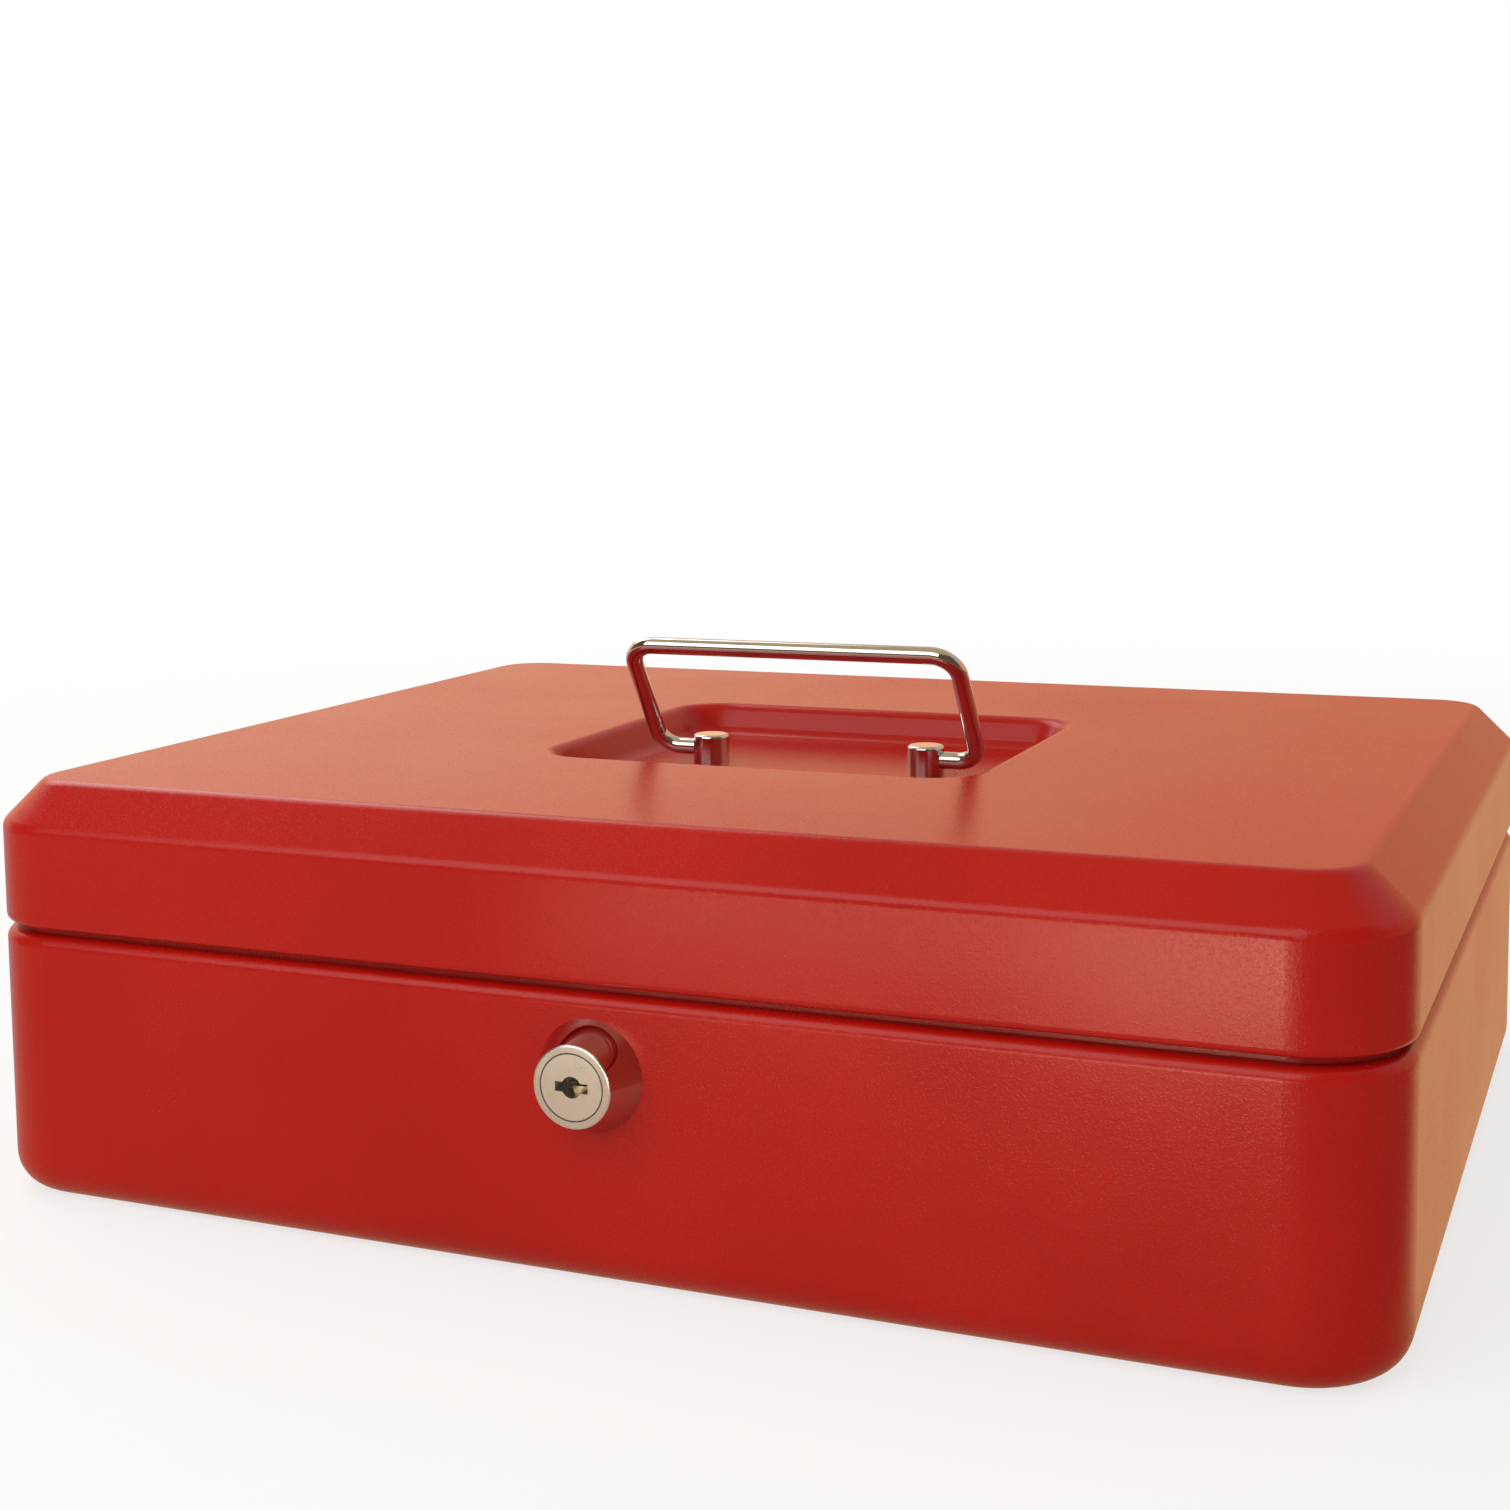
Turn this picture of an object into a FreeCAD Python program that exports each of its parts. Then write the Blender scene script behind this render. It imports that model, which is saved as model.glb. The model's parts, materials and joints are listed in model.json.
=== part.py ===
import FreeCAD, Part
import math
import os
from types import SimpleNamespace

import Sketcher
from FreeCAD import Placement, Rotation, Vector

# A steel cash box: a drawn box, a lid on two rear hinges, a bail handle folding into a
# well in the lid, a wafer lock in the front wall and a loose coin tray on the box's rim.
# Frame: origin at the middle of the base, +X right, +Y back, +Z up, in millimetres.

SIZES = {
    # the closed box
    "width": 300.0,  # left to right, outside
    "depth": 240.0,  # front to back, outside
    "sheet": 1.0,  # steel of box and lid
    "corner_radius": 20.0,  # upright corners, outside
    # the box's lower half
    "base_radius": 8.0,  # edge of the base, outside
    "shoulder_height": 58.0,  # where the wall steps in to the rim
    "shoulder_radius": 2.5,
    "rim_gap": 1.1,  # lid's turned-in edge to the rim
    "rim_rise": 8.0,  # rim above the shoulder
    # the lid
    "lid_gap": 1.6,  # shoulder to the lid's lower edge
    "lid_height": 30.4,
    "lid_edge_radius": 1.5,
    "lid_lip": 2.4,  # turned-in lower edge
    "bevel": 9.0,  # slanted border of the lid's top
    "bend_radius": 3.0,  # both bends of the bevel
    # the handle well, round the folded bail
    "well_side_room": 4.8,  # bail to the well, at floor level
    "well_end_room": 6.5,
    "well_floor_gap": 1.5,  # folded bail to the floor
    "well_corner": 7.0,
    "well_slope": 30.0,  # degrees from upright
    "well_rim_radius": 3.0,
    "well_floor_radius": 4.0,
    # the bail handle and its posts
    "post_spacing": 54.6,
    "post_diameter": 8.6,
    "post_drop": 0.6,  # post top below the lid's top
    "post_cap": 1.35,  # over the bail's hole
    "post_edge": 0.8,
    "wire_diameter": 4.0,
    "bail_reach": 32.0,  # pivot to the middle of the grip
    "bail_lean": 34.0,  # degrees towards the front at rest
    "foot_stub": 3.7,  # straight wire beside the post
    "foot_bend": 5.0,  # middle of the wire
    "grip_bend": 6.0,
    "socket_depth": 6.0,  # blind hole for the bail's end
    "socket_end_gap": 0.5,
    "shank_diameter": 5.0,
    "washer_diameter": 11.0,
    "washer_thickness": 1.0,
    "peen_diameter": 7.6,
    "peen_height": 1.2,
    # the hinges
    "hinge_end_margin": 10.0,  # box corner to the hinge
    "hinge_length": 50.0,
    "hinge_pin": 3.0,
    "leaf_sheet": 1.0,
    "leaf_top_gap": 5.2,  # leaf to the lid's bevel
    "knuckle_gap": 0.4,
    "knuckle_relief": 0.4,  # leaf edge to the other leaf's curl
    "notch_room": 1.5,  # hinge end to the notch's end
    "notch_margin": 0.6,
    "pin_overhang": 1.0,
    "rivet_spacing": 30.0,
    "rivet_edge": 5.8,  # leaf edge to the rivets
    "rivet_diameter": 3.0,
    "rivet_head": 5.6,
    "rivet_head_height": 1.2,
    "rivet_head_round": 1.0,
    "rivet_tail": 5.0,
    "rivet_tail_height": 0.7,
    # the lock
    "lock_drop": 15.7,  # shoulder to the lock's axis
    "plug_head": 13.2,
    "plug_head_length": 3.0,
    "plug_step": 1.4,  # head wider than the body, on the radius
    "collar_rim": 1.38,  # ring of the face round the plug
    "collar_taper": 3.05,  # wider at the wall, on the radius
    "collar_stand": 7.8,  # face in front of the wall
    "collar_edge": 0.5,
    "barrel_wall": 2.75,
    "barrel_length": 12.0,  # from the wall's outer face
    "nut_wall": 2.9,
    "nut_thickness": 3.5,
    "lock_washer_rim": 2.4,
    "lock_washer_thickness": 0.8,
    "keyhole_length": 6.9,
    "keyhole_width": 1.9,
    "keyhole_eye": 4.2,
    "keyhole_depth": 14.6,
    "wafer_count": 5,
    "wafer_pitch": 2.2,
    "wafer_start": 4.5,  # collar face to the first wafer
    "wafer_thickness": 0.8,
    "wafer_width": 4.6,
    "wafer_end_gap": 0.15,
    "tang": 6.0,  # square end of the plug
    "cam_thickness": 1.5,
    "cam_hub": 13.0,
    "cam_gap": 0.6,  # catch's foot to the hook
    "cam_hook": 4.0,
    "cam_arm": 6.0,
    "cam_sweep": 100.0,  # degrees of the hook
    "cam_start": 115.0,  # degrees, hook's arm end when unlocked
    "screw_diameter": 4.0,
    "screw_length": 6.0,
    "screw_head": 7.6,
    "screw_head_height": 2.2,
    "screw_head_round": 0.7,
    # the lid's catch, which the cam hooks over
    "catch_sheet": 1.5,
    "catch_width": 12.0,
    "catch_top_gap": 2.0,  # to the lid's bevel
    "catch_bridge_rise": 3.0,  # over the rim
    "catch_rim_gap": 1.5,
    "catch_foot_rise": 12.0,  # foot's top above the lock's axis
    "catch_foot_overlap": 0.9,  # foot past the cam
    # the coin tray
    "tray_wall": 2.0,
    "tray_height": 36.0,
    "tray_rim_margin": 0.4,  # flange edge inside the rim's outer face
    "tray_side_gap": 2.5,  # basin to the rim's inner face
    "tray_lock_gap": 1.2,
    "cup_count": 6,
    "cup_length": 76.0,
    "cup_corner": 8.0,
    "cup_scoop": 7.0,  # round bottom of every compartment
    "bay_count": 3,
    "catch_slot_room": 5.0,
    # running clearances, on the radius or on each side
    "running_gap": 0.05,
    "hole_gap": 0.1,
}

doc = FreeCAD.newDocument("cash_box")


class Size:
    """A length or angle that carries its number and the sheet formula that gives it."""

    def __init__(self, number, formula):
        self.number = number
        self.formula = formula

    def join(self, sign, other, number):
        return Size(number, f"({self.formula} {sign} {formula_of(other)})")

    def __add__(self, other):
        return self.join("+", other, self.number + number_of(other))

    def __sub__(self, other):
        return self.join("-", other, self.number - number_of(other))

    def __mul__(self, other):
        return self.join("*", other, self.number * number_of(other))

    def __truediv__(self, other):
        return self.join("/", other, self.number / number_of(other))

    def __neg__(self):
        return self * -1

    __radd__ = __add__
    __rmul__ = __mul__

    def __rsub__(self, other):
        return -self + other


def number_of(value):
    return value.number if isinstance(value, Size) else value


def formula_of(value):
    return value.formula if isinstance(value, Size) else f"{value}"


def root_of(squares):
    return Size(math.sqrt(squares.number), f"sqrt({squares.formula})")


def fill_sheet():
    """Puts the driving sizes in a sheet and gives them back as Size objects."""
    sheet = doc.addObject("Spreadsheet::Sheet", "Sizes")
    for row, (name, number) in enumerate(SIZES.items(), start=1):
        sheet.set(f"A{row}", name)
        sheet.set(f"B{row}", f"{number}")
        sheet.setAlias(f"B{row}", name)
    doc.recompute()
    return SimpleNamespace(**{n: Size(v, f"Sizes.{n}") for n, v in SIZES.items()})


s = fill_sheet()


def bind(thing, prop, value):
    thing.setExpression(prop, formula_of(value))


def place(thing, x=0, y=0, z=0, rotation=None):
    """Sets where a piece sits: its turn at once, its position from the sheet."""
    if rotation is not None:
        thing.Placement = Placement(Vector(0, 0, 0), rotation)
    for axis, value in zip("xyz", (x, y, z)):
        bind(thing, f"Placement.Base.{axis}", value)
    doc.recompute()
    return thing


# Heights, faces and widths that several pieces share
lid_bottom = s.shoulder_height + s.lid_gap
lid_top = lid_bottom + s.lid_height
bevel_start = lid_top - s.bevel
rim_top = s.shoulder_height + s.rim_rise
rim_inset = s.lid_lip + s.rim_gap
rim_inner = rim_inset + s.sheet
socket_hole = s.wire_diameter + s.running_gap * 2
pivot_drop = s.post_drop + s.post_cap + socket_hole / 2
pivot_height = lid_top - pivot_drop
well_depth = pivot_drop + s.wire_diameter / 2 + s.well_floor_gap
well_floor = lid_top - well_depth
post_radius = s.post_diameter / 2
leg_x = s.post_spacing / 2 + post_radius + s.foot_stub + s.foot_bend
shank_hole = s.shank_diameter + s.hole_gap * 2
hinge_bore = s.hinge_pin + s.running_gap * 2
curl_radius = hinge_bore / 2 + s.leaf_sheet
hinge_x = s.width / 2 - s.corner_radius - s.hinge_end_margin - s.hinge_length / 2
hinge_y = s.depth / 2 - s.sheet + hinge_bore / 2
hinge_z = s.shoulder_height + s.lid_gap / 2
leaf_height = bevel_start - s.leaf_top_gap - hinge_z
rivet_rise = leaf_height - s.rivet_edge
rivet_hole = s.rivet_diameter + s.hole_gap * 2
lock_height = s.shoulder_height - s.lock_drop
plug_body = s.plug_head - s.plug_step * 2
collar_face = s.plug_head + (s.running_gap + s.collar_rim) * 2
barrel = plug_body + (s.running_gap + s.barrel_wall) * 2
barrel_hole = barrel + s.hole_gap * 2
cam_front = s.barrel_length + s.hole_gap
cam_back = cam_front + s.cam_thickness
lock_back = cam_back + s.screw_head_height
foot_corner = root_of(s.catch_width * s.catch_width / 4 + s.catch_foot_rise * s.catch_foot_rise)
cam_inside = foot_corner + s.cam_gap
ABOUT_X = Vector(1, 0, 0)
ABOUT_Y = Vector(0, 1, 0)
ABOUT_Z = Vector(0, 0, 1)
ALONG_X = Rotation(ABOUT_Y, 90)
INTO_FRONT = Rotation(ABOUT_X, -90)
SIDES = (("left", -1), ("right", 1))
KNUCKLES = 5
BOX_KNUCKLES = (0, 2, 4)
LID_KNUCKLES = (1, 3)
TOUCH = 1e-4


def constrain(sketch, kind, *where):
    return sketch.addConstraint(Sketcher.Constraint(kind, *where))


def measure(sketch, value, kind, *where):
    """Adds a dimension and binds it to the sheet."""
    index = constrain(sketch, kind, *where, number_of(value))
    bind(sketch, f"Constraints[{index}]", value)


def pin_point(sketch, geometry, end, x, y):
    """Fixes one end of a line by its place in the sketch."""
    for axis, kind, value in ((-2, "DistanceX", x), (-1, "DistanceY", y)):
        if number_of(value) == 0:
            constrain(sketch, "PointOnObject", geometry, end, axis)
        else:
            measure(sketch, value, kind, -1, 1, geometry, end)


class Outline:
    """A rectangle with round corners, drawn round a point of its sketch."""

    def __init__(self, width, depth, radius):
        self.width = width
        self.depth = depth
        self.radius = radius

    def inset(self, by):
        return Outline(self.width - by * 2, self.depth - by * 2, self.radius - by)

    def draw(self, sketch, x=0, y=0):
        first = sketch.GeometryCount
        radius = self.radius.number
        middle = Vector(number_of(x), number_of(y))
        half = Vector(self.width.number / 2 - radius, self.depth.number / 2 - radius)
        corners = ((1, -1), (1, 1), (-1, 1), (-1, -1))
        centres = [middle + Vector(half.x * right, half.y * up) for right, up in corners]
        for turn, centre in enumerate(centres):
            start = math.pi / 2 * (turn - 1)
            out = Vector(math.cos(start), math.sin(start)) * radius
            before = centres[turn - 1] + out
            sketch.addGeometry(Part.LineSegment(before, centre + out))
            circle = Part.Circle(centre, ABOUT_Z, radius)
            sketch.addGeometry(Part.ArcOfCircle(circle, start, start + math.pi / 2))
        for turn in range(4):
            line = first + 2 * turn
            after = first + (2 * turn + 2) % 8
            constrain(sketch, "Tangent", line, 2, line + 1, 1)
            constrain(sketch, "Tangent", line + 1, 2, after, 1)
            constrain(sketch, "Vertical" if turn % 2 else "Horizontal", line)
            if turn:
                constrain(sketch, "Equal", first + 1, line + 1)
        right = x + self.width / 2 - self.radius
        front = y - self.depth / 2 + self.radius
        pin_point(sketch, first + 1, 3, right, front)
        measure(sketch, self.radius, "Radius", first + 1)
        measure(sketch, self.width, "DistanceX", first + 6, 1, first + 2, 1)
        measure(sketch, self.depth, "DistanceY", first, 1, first + 4, 1)

    def holds(self, point):
        """Whether a point, seen from above, lies on the outline."""
        radius = self.radius.number
        x = abs(point.x) - self.width.number / 2 + radius
        y = abs(point.y) - self.depth.number / 2 + radius
        outside = math.hypot(max(x, 0), max(y, 0)) + min(max(x, y), 0)
        return abs(outside - radius) < TOUCH

    def edges(self, feature, *heights):
        """Names of the feature's level edges on the outline at these heights."""
        levels = [number_of(height) for height in heights]
        names = []
        for index, edge in enumerate(feature.Shape.Edges, start=1):
            middle = edge.valueAt((edge.FirstParameter + edge.LastParameter) / 2)
            points = [vertex.Point for vertex in edge.Vertexes] + [middle]
            level = any(all(abs(p.z - z) < TOUCH for p in points) for z in levels)
            if level and all(self.holds(p) for p in points):
                names.append(f"Edge{index}")
        return names

    def walls(self, feature):
        """Names of the feature's upright faces on the outline."""
        return [
            f"Face{index}"
            for index, face in enumerate(feature.Shape.Faces, start=1)
            if all(self.holds(vertex.Point) for vertex in face.Vertexes)
            and face.BoundBox.ZLength > TOUCH
        ]


def level_face(feature, height):
    """Name of the feature's largest flat face at a height."""
    found = [
        (face.Area, f"Face{index}")
        for index, face in enumerate(feature.Shape.Faces, start=1)
        if face.BoundBox.ZLength < TOUCH and abs(face.CenterOfMass.z - height.number) < TOUCH
    ]
    return max(found)[1]


def polygon(sketch, corners):
    """Draws a closed shape through corners given as (x, y) sizes."""
    first = sketch.GeometryCount
    points = [Vector(number_of(x), number_of(y)) for x, y in corners]
    for index, point in enumerate(points):
        sketch.addGeometry(Part.LineSegment(point, points[(index + 1) % len(points)]))
    for index, (x, y) in enumerate(corners):
        line = first + index
        constrain(sketch, "Coincident", line, 2, first + (index + 1) % len(points), 1)
        pin_point(sketch, line, 1, x, y)


def rectangle(sketch, left, right, front, back):
    polygon(sketch, [(left, front), (right, front), (right, back), (left, back)])


def circle(sketch, x, y, diameter):
    middle = Vector(number_of(x), number_of(y))
    radius = number_of(diameter) / 2
    index = sketch.addGeometry(Part.Circle(middle, ABOUT_Z, radius))
    measure(sketch, diameter, "Diameter", index)
    pin_point(sketch, index, 3, x, y)


def new_body(label):
    body = doc.addObject("PartDesign::Body", label)
    body.Label = label
    return body


def sketch_on(body, role, offset=0):
    """A sketch on an origin plane of its body, moved along the plane's normal."""
    plane = [f for f in body.Origin.OriginFeatures if f.Role == role][0]
    sketch = body.newObject("Sketcher::SketchObject", f"{body.Name}_sketch")
    sketch.AttachmentSupport = [(plane, "")]
    sketch.MapMode = "FlatFace"
    bind(sketch, "AttachmentOffset.Base.z", offset)
    return sketch


def pad(body, sketch, length, backwards=False):
    feature = body.newObject("PartDesign::Pad", f"{body.Name}_pad")
    feature.Profile = sketch
    feature.Reversed = backwards
    bind(feature, "Length", length)
    doc.recompute()
    return feature


def pocket(body, sketch, length, backwards=False, both_ways=False):
    """Cuts a sketch into its body and makes sure that it took something away."""
    before = body.Shape.Volume
    feature = body.newObject("PartDesign::Pocket", f"{body.Name}_pocket")
    feature.Profile = sketch
    feature.Reversed = backwards
    feature.Midplane = both_ways
    bind(feature, "Length", length)
    doc.recompute()
    if feature.Shape.Volume > before - TOUCH:
        raise ValueError(f"{feature.Name} cuts nothing")
    return feature


def dress(body, kind, base, names, prop, value):
    """A fillet, chamfer, draft or thickness on named edges or faces of the last feature."""
    feature = body.newObject(f"PartDesign::{kind}", f"{body.Name}_{kind.lower()}")
    feature.Base = (base, names)
    bind(feature, prop, value)
    return feature


def fillet(body, base, names, radius):
    feature = dress(body, "Fillet", base, names, "Radius", radius)
    doc.recompute()
    return feature


def turned(label, profile):
    """A piece turned about its own Z axis, from a closed profile of (radius, z) corners."""
    body = new_body(label)
    sketch = sketch_on(body, "XZ_Plane")
    polygon(sketch, profile)
    turn = body.newObject("PartDesign::Revolution", f"{label}_turn")
    turn.Profile = sketch
    turn.ReferenceAxis = (sketch, ["V_Axis"])
    turn.Angle = 360
    doc.recompute()
    return body


def round_rim(body, diameter, height, radius):
    """Rounds the circular edge of a turned piece at a height."""
    names = [
        f"Edge{index}"
        for index, edge in enumerate(body.Tip.Shape.Edges, start=1)
        if isinstance(edge.Curve, Part.Circle)
        and abs(edge.Curve.Radius - diameter.number / 2) < TOUCH
        and abs(edge.Curve.Center.z - number_of(height)) < TOUCH
    ]
    return fillet(body, body.Tip, names, radius)


def block(label, x, y, z, length, width, height):
    """A plain box from its lowest corner."""
    box = doc.addObject("Part::Box", label)
    bind(box, "Length", length)
    bind(box, "Width", width)
    bind(box, "Height", height)
    return place(box, x, y, z)


def rod(label, diameter, length, x=0, y=0, z=0, rotation=None):
    """A plain cylinder from the middle of its first end."""
    cylinder = doc.addObject("Part::Cylinder", label)
    bind(cylinder, "Radius", diameter / 2)
    bind(cylinder, "Height", length)
    return place(cylinder, x, y, z, rotation)


def joined(label, pieces):
    fuse = doc.addObject("Part::MultiFuse", label)
    fuse.Shapes = pieces
    doc.recompute()
    return fuse


def cut_from(label, base, tool):
    cut = doc.addObject("Part::Cut", label)
    cut.Base = base
    cut.Tool = tool
    doc.recompute()
    return cut


def group(label, pieces):
    """Several like pieces under one name, each its own solid."""
    compound = doc.addObject("Part::Compound", label)
    compound.Label = label
    compound.Links = pieces
    doc.recompute()
    return compound


box_outline = Outline(s.width, s.depth, s.corner_radius)


def hinge_notches(body, low, high, deep):
    """Cuts room for both hinges into the rear wall, from one height to another."""
    sketch = sketch_on(body, "XZ_Plane", -s.depth / 2)
    half = s.hinge_length / 2 + s.notch_room
    for _, side in SIDES:
        middle = hinge_x * side
        rectangle(sketch, middle - half, middle + half, low, high)
    pocket(body, sketch, deep, backwards=True)


def rivet_places():
    """X of each hinge rivet."""
    return [
        hinge_x * side + s.rivet_spacing / 2 * end
        for _, side in SIDES
        for end in (-1, 1)
    ]


def hinge_rivet_holes(body, height):
    sketch = sketch_on(body, "XZ_Plane", -s.depth / 2)
    for x in rivet_places():
        circle(sketch, x, height, rivet_hole)
    pocket(body, sketch, s.sheet * 2, backwards=True)


def hollow(body, form, open_height):
    """Leaves the sheet's thickness of a solid form, open at one level face."""
    names = [level_face(form, open_height)]
    shell = dress(body, "Thickness", form, names, "Value", s.sheet)
    shell.Reversed = True
    doc.recompute()
    return shell


def body_shell():
    """The drawn lower half: round base edge, shoulder and an inset rim for the lid."""
    body = new_body("body_shell")
    rim = box_outline.inset(rim_inset)
    sketch = sketch_on(body, "XY_Plane")
    box_outline.draw(sketch)
    pad(body, sketch, s.shoulder_height)
    sketch = sketch_on(body, "XY_Plane", s.shoulder_height)
    rim.draw(sketch)
    form = pad(body, sketch, s.rim_rise)
    form = fillet(body, form, box_outline.edges(form, 0), s.base_radius)
    shoulder = box_outline.edges(form, s.shoulder_height)
    form = fillet(body, form, shoulder, s.shoulder_radius)
    hollow(body, form, rim_top)
    low = s.shoulder_height - s.shoulder_radius - s.notch_margin
    deep = s.sheet + s.leaf_sheet + s.notch_margin
    hinge_notches(body, low, lid_bottom, deep)
    hinge_rivet_holes(body, hinge_z - rivet_rise)
    sketch = sketch_on(body, "XZ_Plane", s.depth / 2)
    circle(sketch, 0, lock_height, barrel_hole)
    pocket(body, sketch, s.sheet * 2)
    return body


def level_face_inside(feature, height, outline):
    """Name of the flat face at a height whose corners all lie on an outline."""
    for index, face in enumerate(feature.Shape.Faces, start=1):
        flat = face.BoundBox.ZLength < TOUCH and abs(face.CenterOfMass.z - height.number) < TOUCH
        if flat and all(outline.holds(vertex.Point) for vertex in face.Vertexes):
            return f"Face{index}"
    raise ValueError(f"no flat face at {height.number}")


def handle_well(body):
    """Sinks the handle well, with sloping sides and soft edges, into the lid's form."""
    half_width = leg_x + s.wire_diameter / 2 + s.well_side_room
    half_depth = s.bail_reach + s.wire_diameter / 2 + s.well_end_room
    floor = Outline(half_width * 2, half_depth * 2, s.well_corner)
    sketch = sketch_on(body, "XY_Plane", lid_top)
    floor.draw(sketch)
    form = pocket(body, sketch, well_depth)
    base = level_face_inside(form, well_floor, floor)
    form = dress(body, "Draft", form, floor.walls(form), "Angle", s.well_slope)
    form.NeutralPlane = (form.Base[0], [base])
    doc.recompute()
    run = well_depth * math.tan(math.radians(s.well_slope.number))
    mouth = floor.inset(-run).edges(form, lid_top)
    form = fillet(body, form, mouth, s.well_rim_radius)
    return fillet(body, form, floor.edges(form, well_floor), s.well_floor_radius)


def lid_shell():
    """The lid: bevelled top with the handle well, and a turned-in lower edge."""
    body = new_body("lid_shell")
    sketch = sketch_on(body, "XY_Plane", lid_bottom)
    box_outline.draw(sketch)
    form = pad(body, sketch, s.lid_height)
    form = dress(body, "Chamfer", form, box_outline.edges(form, lid_top), "Size", s.bevel)
    doc.recompute()
    bends = box_outline.inset(s.bevel).edges(form, lid_top)
    bends += box_outline.edges(form, bevel_start)
    fillet(body, form, bends, s.bend_radius)
    form = handle_well(body)
    hollow(body, form, lid_bottom)
    sketch = sketch_on(body, "XY_Plane", lid_bottom)
    box_outline.draw(sketch)
    box_outline.inset(s.lid_lip).draw(sketch)
    form = pad(body, sketch, s.sheet)
    form = fillet(body, form, box_outline.edges(form, lid_bottom), s.lid_edge_radius)
    inside = box_outline.inset(s.sheet).edges(form, lid_bottom + s.sheet)
    fillet(body, form, inside, s.lid_edge_radius - s.sheet)
    high = lid_bottom + s.lid_edge_radius + s.notch_margin
    hinge_notches(body, lid_bottom - s.lid_gap, high, s.lid_lip + s.notch_margin)
    hinge_rivet_holes(body, hinge_z + rivet_rise)
    sketch = sketch_on(body, "XY_Plane", well_floor)
    for _, side in SIDES:
        circle(sketch, s.post_spacing / 2 * side, 0, shank_hole)
    pocket(body, sketch, s.sheet * 2)
    return body


def hinge_leaf(label, upwards, knuckles, side):
    """One leaf, curled round the pin; its frame is the hinge's axis, along X."""
    start = -s.hinge_length / 2
    reach = curl_radius + s.knuckle_relief
    plate_base = 0 if upwards else -leaf_height
    plate = block(
        f"{label}_plate", start, -curl_radius, plate_base,
        s.hinge_length, s.leaf_sheet, leaf_height,
    )
    curl = rod(f"{label}_curl", curl_radius * 2, s.hinge_length, start, rotation=ALONG_X)
    tools = [rod(f"{label}_bore", hinge_bore, s.hinge_length, start, rotation=ALONG_X)]
    pitch = s.hinge_length / KNUCKLES
    for index in range(KNUCKLES):
        if index in knuckles:
            continue
        left = start + pitch * index - s.knuckle_gap / 2
        length = pitch + s.knuckle_gap
        gap = block(f"{label}_gap", left, -reach, -reach, length, reach * 2, reach * 2)
        tools.append(gap)
    for end in (-1, 1):
        height = rivet_rise * (1 if upwards else -1)
        hole = rod(
            f"{label}_hole", rivet_hole, s.leaf_sheet * 2,
            s.rivet_spacing / 2 * end, -curl_radius - s.leaf_sheet / 2, height, INTO_FRONT,
        )
        tools.append(hole)
    solid = joined(f"{label}_solid", [plate, curl])
    leaf = cut_from(label, solid, joined(f"{label}_tools", tools))
    leaf.Label = label
    return place(leaf, hinge_x * side, hinge_y, hinge_z)


def hinge_pin(label, side):
    pin = rod(label, s.hinge_pin, s.hinge_length + s.pin_overhang * 2)
    pin.Label = label
    start = hinge_x * side - s.hinge_length / 2 - s.pin_overhang
    return place(pin, start, hinge_y, hinge_z, ALONG_X)


def hinge_rivets(label, height):
    """Four rivets through rear wall and leaf, low heads outside and tails inside."""
    rivets = []
    radius = s.rivet_diameter / 2
    grip = s.sheet + s.leaf_sheet
    for x in rivet_places():
        rivet = turned(f"{label}_one", [
            (0, -s.rivet_tail_height),
            (s.rivet_tail / 2, -s.rivet_tail_height),
            (s.rivet_tail / 2, 0),
            (radius, 0),
            (radius, grip),
            (s.rivet_head / 2, grip),
            (s.rivet_head / 2, grip + s.rivet_head_height),
            (0, grip + s.rivet_head_height),
        ])
        head_top = grip + s.rivet_head_height
        round_rim(rivet, s.rivet_head, head_top, s.rivet_head_round)
        rivets.append(place(rivet, x, s.depth / 2 - grip, height, INTO_FRONT))
    return group(label, rivets)


def handle_post(label, side):
    """A turned post with a blind cross hole for the bail, its shank peened under the well."""
    below = s.sheet + s.washer_thickness
    top = well_depth - s.post_drop
    post = turned(label, [
        (0, -below - s.peen_height),
        (s.peen_diameter / 2, -below - s.peen_height),
        (s.peen_diameter / 2, -below),
        (s.shank_diameter / 2, -below),
        (s.shank_diameter / 2, 0),
        (post_radius, 0),
        (post_radius, top),
        (0, top),
    ])
    round_rim(post, s.post_diameter, top, s.post_edge)
    sketch = sketch_on(post, "YZ_Plane", post_radius * side)
    circle(sketch, 0, pivot_height - well_floor, socket_hole)
    pocket(post, sketch, s.socket_depth, backwards=side < 0)
    return place(post, s.post_spacing / 2 * side, 0, well_floor)


def ring(label, inner, outer, thickness):
    return turned(label, [
        (inner / 2, 0), (outer / 2, 0), (outer / 2, thickness), (inner / 2, thickness),
    ])


def post_washers():
    low = well_floor - s.sheet - s.washer_thickness
    washers = []
    for name, side in SIDES:
        washer = ring(f"post_washer_{name}", shank_hole, s.washer_diameter, s.washer_thickness)
        washers.append(place(washer, s.post_spacing / 2 * side, 0, low))
    return group("post_washers", washers)


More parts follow.
